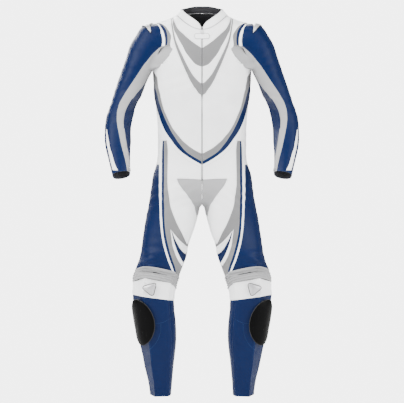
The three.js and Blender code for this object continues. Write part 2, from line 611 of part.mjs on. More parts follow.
// The collar stands on the neck seam and is open in a V at the front
const COLLAR_TOP = seam([[76, 40], [57, 22.6], [31, 4.8], [13, -9.3], [ZIP_HALF, -26]]);
const COLLAR_BACK = 51;
const COLLAR_SIDE = 40;
const COLLAR_LEAN = 9;               // how far its top leans forward at the back
const COLLAR_FOOT = 0.7;             // it starts this far above the neck seam
const COLLAR_ROWS = 2;
function collarColumn(foot, head) {
  const rise = head.clone().sub(foot).normalize();
  const start = foot.clone().addScaledVector(rise, COLLAR_FOOT);
  return evenly(0, 1, COLLAR_ROWS).map((share) => start.clone().lerp(head, share));
}
const collarFront = Array.from({ length: frontRows + 1 }, (_, index) => {
  const row = frontRows - index;
  const foot = frontGrid[row][0];
  const { x, y } = COLLAR_TOP.getPointAt(row / frontRows);
  return collarColumn(foot, new THREE.Vector3(x, mix(foot.y, 8, 0.12), y));
});
const collarBack = [...BACK_NECK, 0].map((x) => {
  const foot = backNeckPoint(x);
  const height = mix(COLLAR_SIDE, COLLAR_BACK, Math.min(1, (1 - x / NECK_HALF) * 1.6));
  return collarColumn(foot, new THREE.Vector3(x * 0.8, foot.y - COLLAR_LEAN, height));
});
const collarHalf = [...collarFront, ...collarBack];
const collarColumns = [...collarHalf, ...collarHalf.slice(0, -1).reverse().map((column) => column.map(mirror))];
const collarGrid = evenly(0, COLLAR_ROWS, COLLAR_ROWS).map((row) => collarColumns.map((column) => column[row]));

// Directions square to a free-standing grid, away from its middle
function squareTo(grid) {
  return (row, column) => {
    const [last, wide] = [grid.length - 1, grid[0].length - 1];
    const along = grid[row][Math.min(column + 1, wide)].clone().sub(grid[row][Math.max(column - 1, 0)]);
    const down = grid[Math.min(row + 1, last)][column].clone().sub(grid[Math.max(row - 1, 0)][column]);
    const direction = new THREE.Vector3().crossVectors(along, down).normalize();
    const away = new THREE.Vector3(grid[row][column].x, grid[row][column].y - 5, 0);
    return direction.dot(away) < 0 ? direction.negate() : direction;
  };
}

// What lies on the panels: rings of surface points from its middle to its outline, found from one side.
// A form gives each ring's share of the way out and its height, the thickness under it and the gap below.
function pad(name, colour, outline, from, form) {
  const middle = outline.slice(1).reduce((sum, point) => sum.add(point), new THREE.Vector3())
    .divideScalar(outline.length - 1);
  const grid = form.rings.map(({ share }) => {
    const points = outline.map((point) => crossing(middle.clone().lerp(point, share).addScaledVector(from, 120),
      from.clone().negate(), 240, 3));
    points[points.length - 1] = points[0];
    return share === 0 ? points.map(() => points[0]) : points;
  });
  const lift = (row) => form.rings[row].height;
  return wall(name, colour, grid, () => true, { raise: form.base + form.gap, thick: form.base, lift });
}

// A closed outline with rounded corners, through the middles of its sides
function rounded(corners, cut, sides) {
  const points = corners.flatMap((corner, index) => {
    const before = corners[(index + corners.length - 1) % corners.length];
    const after = corners[(index + 1) % corners.length];
    const start = corner.clone().lerp(before, cut);
    const end = corner.clone().lerp(after, cut);
    return evenly(0, 1, 4).map((share) => start.clone().lerp(corner, share)
      .lerp(corner.clone().lerp(end, share), share));
  });
  return evenSteps([...points, points[0]], sides);
}

function evenSteps(points, steps) {
  const lengths = points.slice(1).map((point, index) => point.distanceTo(points[index]));
  const total = lengths.reduce((sum, length) => sum + length, 0);
  const found = evenly(0, total, steps).map((target) => {
    let [index, passed] = [0, 0];
    while (index < lengths.length - 1 && passed + lengths[index] < target) passed += lengths[index++];
    return points[index].clone().lerp(points[index + 1], Math.min(1, (target - passed) / lengths[index]));
  });
  return [...found.slice(0, -1), found[0]];
}

const CUP_RINGS = table(['share', 'height'], [[0, 5], [0.4, 4.4], [0.75, 3], [1, 0]]);
const SHOULDER_CUP_FORM = { rings: CUP_RINGS, base: 2, gap: 1 };
const KNEE_CUP_FORM = { rings: CUP_RINGS, base: 2, gap: 0.8 };
const PUCK_RINGS = table(['share', 'height'], [[0, 5], [0.35, 5], [0.68, 5], [0.92, 4], [1, 1]]);
const SLIDER_FORM = { rings: PUCK_RINGS, base: 3, gap: 1.2 };
const TAB_RINGS = table(['share', 'height'], [[0, 0.4], [0.6, 0.4], [1, 0]]);
const TAB_FORM = { rings: TAB_RINGS, base: 1.4, gap: SEAM_GAP };
const CORNER_CUT = 0.2;              // how much of a cup's sides its rounded corners take
const CUP_SIDES = 18;
const SHOULDER_CUP = [seen(181, -66), seen(221, -38, 1), seen(172, -24, 1)];
const CUP_SIDE = new THREE.Vector3(0.35, -0.45, 0.82).normalize();
const FRONT = new THREE.Vector3(0, -1, 0);
const KNEE_CUP = [seen(226, -988), seen(166.5, -970), seen(181, -1026)];
const SLIDER = { turn: 50, halfTurn: 47, z: -1118, halfHeight: 85, sides: 24 };
const SLIDER_SIDE = new THREE.Vector3(Math.sin(radians(SLIDER.turn)), -Math.cos(radians(SLIDER.turn)), 0);
const sliderOutline = evenly(0, 2 * Math.PI, SLIDER.sides).map((angle) => around(LEG,
  SLIDER.z + SLIDER.halfHeight * Math.sin(angle), SLIDER.turn + SLIDER.halfTurn * Math.cos(angle)));

// The main zip, its slider and pull tab, and the small ones at the cuffs
const STAY_TAB = { half: 27.5, top: -50, bottom: -70 };
const stayTab = rounded([seen(-STAY_TAB.half, STAY_TAB.top), seen(STAY_TAB.half, STAY_TAB.top),
  seen(STAY_TAB.half, STAY_TAB.bottom), seen(-STAY_TAB.half, STAY_TAB.bottom)], 0.14, 20);
const MAIN_SLIDER = { at: seen(0, -42), wide: 8, long: 10, thick: 3 };
const CUFF_SLIDER = { at: around(ARM, -548, -52), wide: 8, long: 10, thick: 3 };
const PULL = { wide: 6, long: 14, thick: 1.4, corner: 2.4, hole: 1.4 };

// A flat piece with rounded corners that lies along the surface, over a point and so far above it
function plate(name, colour, at, { wide, long, thick, corner = 1.5, hole = 0 }, height, drop = 0) {
  const shape = new THREE.Shape();
  const [halfWide, halfLong] = [wide / 2, long / 2];
  [[1, -1, -90], [1, 1, 0], [-1, 1, 90], [-1, -1, 180]].forEach(([x, y, start]) => {
    shape.absarc(x * (halfWide - corner), y * (halfLong - corner), corner, radians(start), radians(start + 90));
  });
  const eye = hole * 2.2 - halfLong;
  if (hole > 0) shape.holes.push(new THREE.Path().absarc(0, eye, hole, 0, 2 * Math.PI, true));
  const geometry = new THREE.ExtrudeGeometry(shape, { depth: thick, bevelEnabled: false, curveSegments: 3 });
  geometry.translate(0, -drop, height);
  geometry.applyMatrix4(frameAt(at));
  const made = new THREE.Mesh(geometry, COLOURS[colour]);
  made.name = name;
  return made;
}

// Axes at a surface point: X across, Y up along the surface and Z out of it
function frameAt(at) {
  const out = outward(at);
  const up = new THREE.Vector3(0, 0, 1).addScaledVector(out, -out.z).normalize();
  return new THREE.Matrix4().makeBasis(new THREE.Vector3().crossVectors(up, out), up, out).setPosition(at);
}

const PULL_DROP = PULL.long / 2 - 1;
const PULL_LIFT = 0.4;               // air between a slider and its pull tab
const pull = (name, slider) => plate(name, 'metal', slider.at, PULL, SEAM_GAP * 2 + slider.thick + PULL_LIFT,
  PULL_DROP);
const TAPE = { half: 2, top: -38, bottom: ZIP_BOTTOM + 6, steps: 20 };
const TAPE_WALL = { raise: -SEAM_GAP, thick: 1.6 };
const zipGrid = evenly(TAPE.top, TAPE.bottom, TAPE.steps).map((z) => [seen(-TAPE.half, z), seen(TAPE.half, z)]);

const leftPieces = [
  frontPanel('chest_top_L', 'white', 0),
  frontPanel('chevron_wide_L', 'grey', 1),
  frontPanel('chest_middle_L', 'white', 2),
  frontPanel('chevron_thin_L', 'grey', 3),
  frontPanel('chest_main_L', 'white', 4),
  frontPanel('oval_grey_L', 'grey', 5, armholeRows),
  frontPanel('oval_blue_L', 'blue', 6, middleStart),
  wall('thigh_front_L', 'white', legGrid, inThighFront),
  wall('crotch_L', 'stretch', legGrid, inCrotch),
  wall('stripe_grey_L', 'grey', legGrid, inGrey),
  wall('stripe_blue_L', 'blue', legGrid, (row, column) => inStripe(row, column, 1)),
  wall('stripe_white_L', 'white', legGrid, (row, column) => inStripe(row, column, 2)),
  wall('thigh_outer_L', 'blue', legGrid, inThighBlue),
  wall('seat_L', 'white', legGrid, inSeat),
  wall('knee_ribs_L', 'stretch', legGrid, inRibs, { lift: ribLift }),
  wall('knee_panel_L', 'white', legGrid, inKnee),
  wall('shin_L', 'blue', legGrid, inShin),
  wall('calf_L', 'blue', legGrid, inCalf),
  wall('sleeve_stretch_L', 'stretch', sleeveGrid, inStretch, { armpitSide: -1 }),
  wall('sleeve_inner_L', 'blue', sleeveGrid, (row, column) => row > armpitRow && column < 1),
  wall('sleeve_outer_L', 'blue', sleeveGrid, inSleeveOuter, { armpitSide: -1 }),
  wall('shoulder_band_L', 'grey', bandGrid, () => true),
  pad('shoulder_cup_L', 'cup', rounded(SHOULDER_CUP, CORNER_CUT, CUP_SIDES), CUP_SIDE, SHOULDER_CUP_FORM),
  pad('knee_slider_L', 'slider', sliderOutline, SLIDER_SIDE, SLIDER_FORM),
  pad('knee_cup_L', 'cup', rounded(KNEE_CUP, CORNER_CUT, CUP_SIDES), FRONT, KNEE_CUP_FORM),
  plate('cuff_slider_L', 'metal', CUFF_SLIDER.at, CUFF_SLIDER, SEAM_GAP),
  pull('cuff_pull_L', CUFF_SLIDER),
];

const suit = new THREE.Group();
suit.add(...leftPieces, ...leftPieces.map(mirrored));
suit.add(
  wall('back', 'white', backGrid, () => true),
  wall('collar', 'white', collarGrid, () => true, { directions: squareTo(collarGrid) }),
  wall('zip_tape', 'metal', zipGrid, () => true, TAPE_WALL),
  plate('zip_slider', 'metal', MAIN_SLIDER.at, MAIN_SLIDER, SEAM_GAP),
  pull('zip_pull', MAIN_SLIDER),
  pad('stay_tab', 'white', stayTab, FRONT, TAB_FORM),
);
export default suit;
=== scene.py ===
"""Looks of a one-piece leather race suit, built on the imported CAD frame.

Each sewn panel is a refined copy of its CAD wall with turned edges, soft folds, a mesh lining
and a row of stitches along its border. Coloured strips are laid on some panels, and the zip,
cups, knee sliders and pull tabs are finished in place.
"""

import json
import math

import bmesh
import bpy
import numpy as np
from mathutils import Matrix, Vector, noise
from mathutils.bvhtree import BVHTree
from mathutils.kdtree import KDTree

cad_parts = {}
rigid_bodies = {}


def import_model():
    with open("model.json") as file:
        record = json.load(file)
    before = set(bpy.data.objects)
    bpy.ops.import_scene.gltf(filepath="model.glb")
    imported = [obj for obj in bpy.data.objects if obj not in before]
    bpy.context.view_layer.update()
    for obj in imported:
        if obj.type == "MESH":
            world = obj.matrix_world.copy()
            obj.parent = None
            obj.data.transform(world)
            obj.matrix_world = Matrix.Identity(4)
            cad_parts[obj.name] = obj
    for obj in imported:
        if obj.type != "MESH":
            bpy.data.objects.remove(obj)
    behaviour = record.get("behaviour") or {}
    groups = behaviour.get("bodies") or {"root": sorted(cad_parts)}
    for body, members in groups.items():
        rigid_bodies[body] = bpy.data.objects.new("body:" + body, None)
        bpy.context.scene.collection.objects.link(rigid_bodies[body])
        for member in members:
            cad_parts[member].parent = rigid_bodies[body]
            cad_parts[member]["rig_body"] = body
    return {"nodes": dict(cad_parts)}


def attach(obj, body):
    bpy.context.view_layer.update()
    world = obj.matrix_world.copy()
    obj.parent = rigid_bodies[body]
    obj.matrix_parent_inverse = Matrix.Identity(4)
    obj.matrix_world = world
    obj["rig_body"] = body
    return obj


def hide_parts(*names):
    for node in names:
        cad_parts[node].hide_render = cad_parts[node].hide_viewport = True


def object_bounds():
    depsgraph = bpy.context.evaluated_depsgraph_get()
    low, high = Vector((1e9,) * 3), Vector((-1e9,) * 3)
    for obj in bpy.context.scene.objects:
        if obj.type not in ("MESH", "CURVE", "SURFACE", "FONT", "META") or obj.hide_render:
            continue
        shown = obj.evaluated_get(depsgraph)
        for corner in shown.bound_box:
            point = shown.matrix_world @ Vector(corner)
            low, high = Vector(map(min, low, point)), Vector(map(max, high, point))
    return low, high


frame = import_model()
nodes = frame["nodes"]
cad_low, cad_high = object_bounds()

MERGE = 0.00001  # loose triangles of the CAD meshes join within this
PHOTO_PIXEL = 0.0037  # one pixel of the photo
PHOTO_WIDTH = 404
PHOTO_MIDDLE = (202, 201.5)  # pixel that the camera looks at
PHOTO_TOP = 20  # pixel row of Z = 0

# Sewn panels of the left side, with their material
SIDE_PANELS = {
    "chest_top": "white",
    "chevron_wide": "grey",
    "chest_middle": "white",
    "chevron_thin": "grey",
    "chest_main": "white",
    "oval_grey": "grey",
    "oval_blue": "blue",
    "thigh_front": "white",
    "crotch": "stretch",
    "stripe_grey": "grey",
    "stripe_blue": "blue",
    "stripe_white": "white",
    "thigh_outer": "blue",
    "seat": "white",
    "knee_ribs": "stretch",
    "knee_panel": "white",
    "shin": "blue",
    "calf": "blue",
    "sleeve_stretch": "stretch",
    "sleeve_inner": "blue",
    "sleeve_outer": "blue",
    "shoulder_band": "grey",
}
PANELS = {f"{name}_{side}": look for name, look in SIDE_PANELS.items() for side in "LR"}
PANELS |= {"back": "white", "collar": "white"}

WALL_CORNER = math.radians(50)  # faces of a wall meet at more than this only at its rim
RIB_CORNER = math.radians(80)
JOIN_TURN = 0.6  # triangles of a wall that meet at less than this, in radians, are joined in pairs
JOIN_SHAPE = 3.2
REFINE = 2  # subdivisions of a panel
FIT_ROUNDS = 3  # corrections that bring the refined panel back to the CAD points
EDGE_ROUND = 0.0011  # radius of a panel's turned edge, which makes the groove of a seam


# Materials


class Value:
    """The output of a shader node, with arithmetic that makes further nodes."""

    def __init__(self, shader, socket):
        self.shader, self.socket = shader, socket

    def math(self, operation, other=0.0):
        node = self.shader.add("Math", {0: self, 1: other}, operation=operation)
        return Value(self.shader, node.outputs[0])

    def __add__(self, other):
        return self.math("ADD", other)

    def __sub__(self, other):
        return self.math("SUBTRACT", other)

    def __rsub__(self, other):
        return self * -1 + other

    def __mul__(self, other):
        return self.math("MULTIPLY", other)

    __radd__, __rmul__ = __add__, __mul__

    def ramp(self, low, high, start=0.0, end=1.0):
        """Goes from start to end as this value goes from low to high, eased at both ends."""
        inputs = {"Value": self, "From Min": low, "From Max": high, "To Min": start, "To Max": end}
        node = self.shader.add("MapRange", inputs, interpolation_type="SMOOTHSTEP")
        return Value(self.shader, node.outputs["Result"])


class Nodes:
    """A node tree under construction. add() is the one place where nodes are made."""

    def __init__(self, tree):
        self.tree = tree
        tree.nodes.clear()

    def link(self, output, socket):
        self.tree.links.new(output, socket)

    def fill(self, socket, value):
        if isinstance(value, Value):
            self.link(value.socket, socket)
        else:
            socket.default_value = value

    def add(self, kind, inputs=None, **settings):
        node = self.tree.nodes.new("ShaderNode" + kind)
        for key, value in settings.items():
            setattr(node, key, value)
        for key, value in (inputs or {}).items():
            self.fill(node.inputs[key], value)
        return node


class Shader(Nodes):
    """A material on a principled surface, with its place on the object."""

    def __init__(self, name):
        self.material = bpy.data.materials.new(name)
        self.material.use_nodes = True
        super().__init__(self.material.node_tree)
        self.surface = self.add("BsdfPrincipled")
        self.link(self.surface.outputs["BSDF"], self.add("OutputMaterial").inputs["Surface"])
        self.place = Value(self, self.add("TexCoord").outputs["Object"])
        axes = self.add("SeparateXYZ", {0: self.place}).outputs
        self.x, self.y, self.z = (Value(self, axis) for axis in axes)

    def noise(self, scale, detail=2.0, rough=0.5):
        inputs = {"Vector": self.place, "Scale": scale, "Detail": detail, "Roughness": rough}
        return Value(self, self.add("TexNoise", inputs).outputs[0])

    def cells(self, scale, feature="F1", randomness=1.0):
        inputs = {"Vector": self.place, "Scale": scale, "Randomness": randomness}
        return Value(self, self.add("TexVoronoi", inputs, feature=feature).outputs["Distance"])

    def mix(self, first, second, share):
        node = self.add("Mix", {"A": first, "B": second, "Factor": share}, data_type="RGBA")
        return Value(self, node.outputs["Result"])

    def set(self, **values):
        """Values of the surface by input name, with underscores for spaces."""
        for key, value in values.items():
            self.fill(self.surface.inputs[key.replace("_", " ")], value)
        return self

    def bump(self, height, distance, strength=1.0):
        """Height is from 0 to 1, and distance is how far it stands out, in metres."""
        node = self.add("Bump", {"Height": height, "Distance": distance, "Strength": strength})
        self.link(node.outputs["Normal"], self.surface.inputs["Normal"])
        return self


def tone(colour, factor=1.0):
    return tuple(min(1.0, channel * factor) for channel in colour) + (1.0,)


def leather(name, colour, rough, shine=0.42):
    """Satin cowhide: fine pebbles with creases between them, a soft mottle and worn, shinier patches."""
    s = Shader(name)
    mottle = s.noise(14, 4, 0.55)
    wear = s.noise(45, 3, 0.6).ramp(0.42, 0.72)
    pebbles = s.cells(620, "DISTANCE_TO_EDGE")
    pores = s.noise(1500, 2, 0.6)
    s.set(
        Base_Color=s.mix(tone(colour, 0.95), tone(colour, 1.03), mottle.ramp(0.3, 0.7)),
        Roughness=mottle * 0.1 + rough - wear * 0.08,
        Coat_Weight=0.12 * shine,
        Coat_Roughness=0.35,
        Specular_IOR_Level=shine,
    )
    return s.bump(pebbles.ramp(0.0, 0.25, 0, 0.8) + pores * 0.3, 0.00022, 0.55).material


def stretch(name, colour):
    """Ribbed stretch cloth: fine ribs across the limb over a plain weave, with painted shade that darkens the
    colour in the valleys between ribs and threads.
    """
    s = Shader(name)
    drift = (s.noise(60, 2) - 0.5) * 0.0006
    ribs = ((s.z + drift) * (2 * math.pi / 0.0034)).math("SINE") * 0.5 + 0.5
    weave = (s.x * (2 * math.pi / 0.0011)).math("SINE") * 0.5 + 0.5
    height = ribs * 0.75 + weave * 0.2
    s.set(
        # Painted shade: the colour darkens where the ribs and weave sink, following the same relief as the
        # bump.
        Base_Color=s.mix(tone(colour, 0.88), tone(colour, 1.04), height.ramp(0.1, 0.8)),
        Roughness=0.86,
        Sheen_Weight=0.1,
        Specular_IOR_Level=0.2,
    )
    return s.bump(height, 0.0005, 0.6).material


def moulded(name, colour, rough, metallic=0.0, grain=900, coat=0.0, shine=0.5):
    """Moulded or cast hard piece with fine grain and light scuffs."""
    s = Shader(name)
    cloud = s.noise(30, 3)
    scuffs = s.noise(240, 4, 0.7).ramp(0.55, 0.7)
    s.set(
        Base_Color=s.mix(tone(colour, 0.9), tone(colour, 1.1), cloud.ramp(0.3, 0.7)),
        Roughness=scuffs * 0.14 + rough,
        Metallic=metallic,
        Coat_Weight=coat,
        Coat_Roughness=0.25,
        Specular_IOR_Level=shine,
    )
    return s.bump(s.noise(grain, 2) + scuffs * 0.2, 0.00012, 0.5).material


def lining(name, colour):
    """Open mesh lining: a net of small round holes over a dark ground."""
    s = Shader(name)
    holes = s.cells(330, "F1", 0.15).ramp(0.25, 0.55)
    s.set(Base_Color=s.mix(tone(colour, 0.35), tone(colour), holes), Roughness=0.9, Specular_IOR_Level=0.2)
    return s.bump(holes, 0.0004, 0.6).material


WHITE = (0.86, 0.865, 0.87)
BLUE = (0.0, 0.0058, 0.037)
GREY = (0.14, 0.14, 0.142)
PALE_GREY = (0.29, 0.29, 0.294)
LOOKS = {
    "white": leather("white leather", WHITE, 0.44),
    "blue": leather("blue leather", BLUE, 0.4, 0.1),
    "grey": leather("grey leather", GREY, 0.46, 0.3),
    "stretch": stretch("stretch cloth", PALE_GREY),
    "ribs": stretch("ribbed knee cloth", tone(PALE_GREY, 0.9)[:3]),
    "slider": moulded("slider plastic", (0.0005, 0.0005, 0.0006), 0.4, shine=0.05),
    "cup": moulded("cup plastic", (0.4, 0.4, 0.41), 0.3, 0.3, coat=0.3),
    "rim": moulded("rim rubber", (0.012, 0.012, 0.013), 0.6, shine=0.2),
    "metal": moulded("zip metal", (0.36, 0.36, 0.37), 0.32, 0.9),
    "tape": stretch("zip tape", (0.26, 0.26, 0.265)),
    "lining": lining("mesh lining", (0.045, 0.045, 0.05)),
    "piping": leather("grey piping", (0.12, 0.12, 0.125), 0.5, 0.3),
}
THREADS = {
    "white": moulded("white thread", (0.5, 0.5, 0.51), 0.7),
    "blue": moulded("blue thread", (0.01, 0.035, 0.1), 0.7, shine=0.2),
    "grey": moulded("grey thread", (0.22, 0.22, 0.225), 0.7),
    "stretch": moulded("pale grey thread", (0.2, 0.2, 0.205), 0.7),
}


# Shared mesh work


def merged(name):
    """A copy of a CAD node's mesh with its loose triangles joined."""
    shape = bmesh.new()
    shape.from_mesh(nodes[name].data)
    bmesh.ops.remove_doubles(shape, verts=shape.verts, dist=MERGE)
    return shape


def finished(shape, name, looks, smooth=True):
    """Makes an object at the origin out of a bmesh, with its materials."""
    mesh = bpy.data.meshes.new(name)
    shape.to_mesh(mesh)
    shape.free()
    for look in looks:
        mesh.materials.append(look)
    mesh.polygons.foreach_set("use_smooth", [smooth] * len(mesh.polygons))
    piece = bpy.data.objects.new(name, mesh)
    bpy.context.scene.collection.objects.link(piece)
    return piece


def modifier(piece, kind, **settings):
    made = piece.modifiers.new(kind.lower(), kind)
    for key, value in settings.items():
        setattr(made, key, value)


def tree_of(points):
    """A tree that finds the nearest of the points."""
    tree = KDTree(len(points))
    for index, point in enumerate(points):
        tree.insert(point, index)
    tree.balance()
    return tree


def fixed(piece, body="root"):
    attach(piece, body)
    return piece


# Panels


def limb_of(name):
    if name == "collar":
        return "collar"
    if name.startswith(("sleeve", "shoulder_band")):
        return "sleeve" + name[-1]
    if name.startswith(("thigh", "stripe", "seat", "knee", "shin", "calf", "crotch")):
        return "leg" + name[-1]
    return "torso"


LIMB_TOPS = {"sleeve": -0.07, "leg": -0.62, "torso": -0.16, "collar": 1.0}  # an axis ends here
LEVEL = 0.02  # height of one step along an axis


def limb_axis(limb):
    """Middle (x, y) of a limb at each level, from the points of the nodes that make it up."""
    members = [name for name in PANELS if limb_of(name) == limb]
    points = np.array([v.co for name in members for v in nodes[name].data.vertices])
    rows = []
    for z in np.arange(points[:, 2].min(), points[:, 2].max() + LEVEL, LEVEL):
        near = points[np.abs(points[:, 2] - z) < 2 * LEVEL]
        if len(near):
            rows.append((z, *((near[:, :2].min(0) + near[:, :2].max(0)) / 2)))
    return np.array(rows)


AXES = {limb: limb_axis(limb) for limb in sorted({limb_of(name) for name in PANELS})}


def away(points, limb):
    """Unit vectors from a limb's axis out to the points, an array of rows."""
    axis = AXES[limb]
    top = LIMB_TOPS[limb.rstrip("LR")]
    z = np.minimum(points[:, 2], top)
    x, y = (np.interp(z, axis[:, 0], axis[:, column]) for column in (1, 2))
    centre = np.column_stack([x, y, z])
    out = points - centre
    return out / np.linalg.norm(out, axis=1)[:, None]


def positions(mesh):
    found = np.zeros(len(mesh.vertices) * 3, np.float32)
    mesh.vertices.foreach_get("co", found)
    return found.reshape(-1, 3).astype(float)


def place(mesh, points):
    mesh.vertices.foreach_set("co", points.astype(np.float32).ravel())
    mesh.update()


def applied(piece):
    """The piece's mesh as its modifiers leave it."""
    graph = bpy.context.evaluated_depsgraph_get()
    graph.update()
    return bpy.data.meshes.new_from_object(piece.evaluated_get(graph))


def corner_of(name):
    return RIB_CORNER if name.startswith("knee_ribs") else WALL_CORNER


def refined(name):
    """A panel's wall from its CAD node, smooth between its points and sharp along its rim."""
    shape = merged(name)
    angles = {"angle_face_threshold": JOIN_TURN, "angle_shape_threshold": JOIN_SHAPE}
    bmesh.ops.join_triangles(shape, faces=shape.faces, **angles)
    crease = shape.edges.layers.float.new("crease_edge")
    for edge in shape.edges:
        if edge.calc_face_angle(0) > corner_of(name):
            edge[crease] = 1.0
    piece = finished(shape, f"{name}_panel", [])
    cage = positions(piece.data)
    modifier(piece, "SUBSURF", levels=REFINE, render_levels=REFINE)
    moved = cage.copy()
    for _ in range(FIT_ROUNDS):
        moved += cage - positions(applied(piece))[: len(cage)]
        place(piece.data, moved)
    mesh = applied(piece)
    piece.modifiers.clear()
    piece.data = mesh
    return piece


# Folds of the leather: limb, middle height, spread, depth, length of one fold, slope across, and
# side (front -1, back 1)
FOLDS = (
    ("sleeve", -0.315, 0.075, 0.0024, 0.03, 0.35, -1),
    ("sleeve", -0.17, 0.05, 0.0016, 0.034, -0.5, -1),
    ("sleeve", -0.5, 0.05, 0.0013, 0.027, 0.2, -1),
    ("leg", -0.66, 0.07, 0.0022, 0.036, 0.55, -1),
    ("leg", -0.86, 0.06, 0.0018, 0.034, -0.3, -1),
    ("leg", -1.0, 0.08, 0.0026, 0.032, 0.1, 1),
    ("leg", -1.3, 0.07, 0.0012, 0.03, 0.15, -1),
    ("leg", -0.72, 0.06, 0.0022, 0.04, -0.3, 1),
    ("torso", -0.47, 0.075, 0.0018, 0.045, 0.12, -1),
    ("torso", -0.45, 0.08, 0.0026, 0.045, -0.1, 1),
    ("torso", -0.24, 0.05, 0.0014, 0.04, 0.4, -1),
)

WAVER = {"scale": 11.0, "depth": 0.0014, "turn": 3.0, "share": 0.4}  # slow unevenness of folds and surface
DENTS = {"scale": 24.0, "depth": 0.0005}

# The leather lies flat under these, and its folds fade out near them
FLAT_UNDER = ("shoulder_cup_L", "shoulder_cup_R", "knee_cup_L", "knee_cup_R", "stay_tab")
CALM_FROM, CALM_TO = 0.006, 0.035
HARD = tree_of([v.co.copy() for name in FLAT_UNDER for v in nodes[name].data.vertices])


def uneven(points, scale):
    return np.array([noise.noise(Vector(point) * scale) for point in points])


def folds(points, out, limb):
    """How far the leather stands out at each point: folds at the bends over soft, irregular dents."""
    x, z = np.abs(points[:, 0]), points[:, 2]
    raised = np.zeros(len(points))
    waver = uneven(points, WAVER["scale"])
    for part, height, spread, depth, wavelength, slope, side in FOLDS:
        if part != limb.rstrip("LR"):
            continue
        near = np.exp(-(((z - height) / spread) ** 2))
        facing = np.clip(0.5 + 0.5 * side * out[:, 1], 0, 1)
        wave = np.sin(2 * np.pi * (z + slope * x) / wavelength + WAVER["turn"] * waver)
        raised += depth * near * facing * wave * (1 - WAVER["share"] + WAVER["share"] * waver)
    raised += waver * WAVER["depth"] + uneven(points, DENTS["scale"]) * DENTS["depth"]
    gap = np.array([HARD.find(Vector(point))[2] for point in points])
    return raised * np.clip((gap - CALM_FROM) / (CALM_TO - CALM_FROM), 0, 1)


# Faces that look at the limb's axis at least this squarely are lining
LINED = -0.35
LINED_RIBS = -0.8


def panel(name, look):
    piece = refined(name)
    limb = limb_of(name)
    points = positions(piece.data)
    out = away(points, limb)
    points += out * folds(points, out, limb)[:, None]
    place(piece.data, points)
    ribbed = name.startswith("knee_ribs")
    for material in (LOOKS["ribs" if ribbed else look], LOOKS["lining"]):
        piece.data.materials.append(material)
    centres = np.array([face.center for face in piece.data.polygons])
    facing = np.array([face.normal for face in piece.data.polygons])
    inside = (facing * away(centres, limb)).sum(1) < (LINED_RIBS if ribbed else LINED)
    piece.data.polygons.foreach_set("material_index", inside.astype(np.int32))
    piece.data.polygons.foreach_set("use_smooth", [True] * len(inside))
    areas = np.array([face.area for face in piece.data.polygons])
    limit = {"limit_method": "ANGLE", "angle_limit": WALL_CORNER}
    modifier(piece, "BEVEL", width=EDGE_ROUND, segments=2, use_clamp_overlap=True, **limit)
    modifier(piece, "WEIGHTED_NORMAL", keep_sharp=False)
    fixed(piece)
    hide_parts(name)
    width, length, area = cut_size(points, centres[~inside], areas[~inside])
    return piece


CUT_SLICES = 8
LEAST_WIDTH = 0.01
CUT_ROOM = 1.02  # width times length is at least this many times the area


def cut_size(points, centres, areas):
    """Width, length and area of the flat cut: its width is its widest slice across the long direction."""
    middle = points.mean(0)
    spread = np.linalg.svd(points - middle, full_matrices=False)[2][0]
    along = (points - middle) @ spread
    length = float(np.ptp(along))
    bins = np.linspace(along.min(), along.max(), CUT_SLICES + 1)
    slices = np.histogram((centres - middle) @ spread, bins, weights=areas)[0] / np.diff(bins)
    area = float(areas.sum())
    width = max(float(slices.max()), area / length * CUT_ROOM, LEAST_WIDTH)
    return round(width, 4), round(length, 4), round(min(area, width * length), 5)


panels = {name: panel(name, look) for name, look in PANELS.items()}


# Surfaces of the panels, for what is sewn or laid on them


FRONT_Y = -0.06  # depth in front of a panel, from where its nearest point is looked for
EDGE_ON = -0.12  # a face whose normal has more Y than this doesn't look at the front
EDGE_HALVINGS = 12


class Surface:
    """The outer face of panels: where the front view shows it, and how it is bordered."""

    def __init__(self, *names):
        points, faces, self.borders = [], [], []
        for name in names:
            shape = bmesh.new()
            shape.from_mesh(panels[name].data)
            sheet = outer_sheet(shape, limb_of(name), corner_of(name))
            self.borders += borders(sheet)
            faces += [[vert.index + len(points) for vert in face.verts] for face in sheet]
            points += [vert.co.copy() for vert in shape.verts]
            shape.free()
        self.tree = BVHTree.FromPolygons(points, faces)

    def hit(self, x, z):
        """Point and normal where the front view shows (x, z), or None beside the panel or on its far turn."""
        point, normal = self.tree.ray_cast(Vector((x, -1, z)), Vector((0, 1, 0)))[:2]
        return (None, None) if point is None or normal.y > EDGE_ON else (point, normal)

    def reach(self, start, end):
        """The share of the way from start to end, in the front view, where the panel begins."""
        low, high = 0.0, 1.0
        if self.hit(*start)[0] is not None or self.hit(*end)[0] is None:
            return 0.0
        for _ in range(EDGE_HALVINGS):
            share = (low + high) / 2
            missed = self.hit(*(start + (end - start) * share))[0] is None
            low, high = (share, high) if missed else (low, share)
        return high

    def seen(self, x, z):
        """Point and normal where the front view shows (x, z), or the nearest ones."""
        point, normal = self.hit(x, z)
        return (point, normal) if point is not None else self.nearest(Vector((x, FRONT_Y, z)))

    def nearest(self, point):
        return self.tree.find_nearest(point)[:2]


def outer_sheet(shape, limb, corner):
    """The largest set of faces between sharp edges that looks away from the limb's axis, in mesh order."""
    left = set(shape.faces)
    best, best_area = [], 0.0
    for first in shape.faces:
        if first not in left:
            continue
        left.remove(first)
        found, queue = [], [first]
        while queue:
            face = queue.pop()
            found.append(face)
            for edge in face.edges:
                if edge.calc_face_angle(0) > corner:
                    continue
                for other in edge.link_faces:
                    if other in left:
                        left.remove(other)
                        queue.append(other)
        areas = np.array([face.calc_area() for face in found])
        centres = np.array([face.calc_center_median() for face in found])
        normals = np.array([face.normal for face in found])
        looks_out = float(((normals * away(centres, limb)).sum(1) * areas).sum())
        if looks_out > best_area:
            best, best_area = found, looks_out
    return sorted(best, key=lambda face: face.index)


LEAST_BORDER = 4  # edges round a sheet or a hole in it


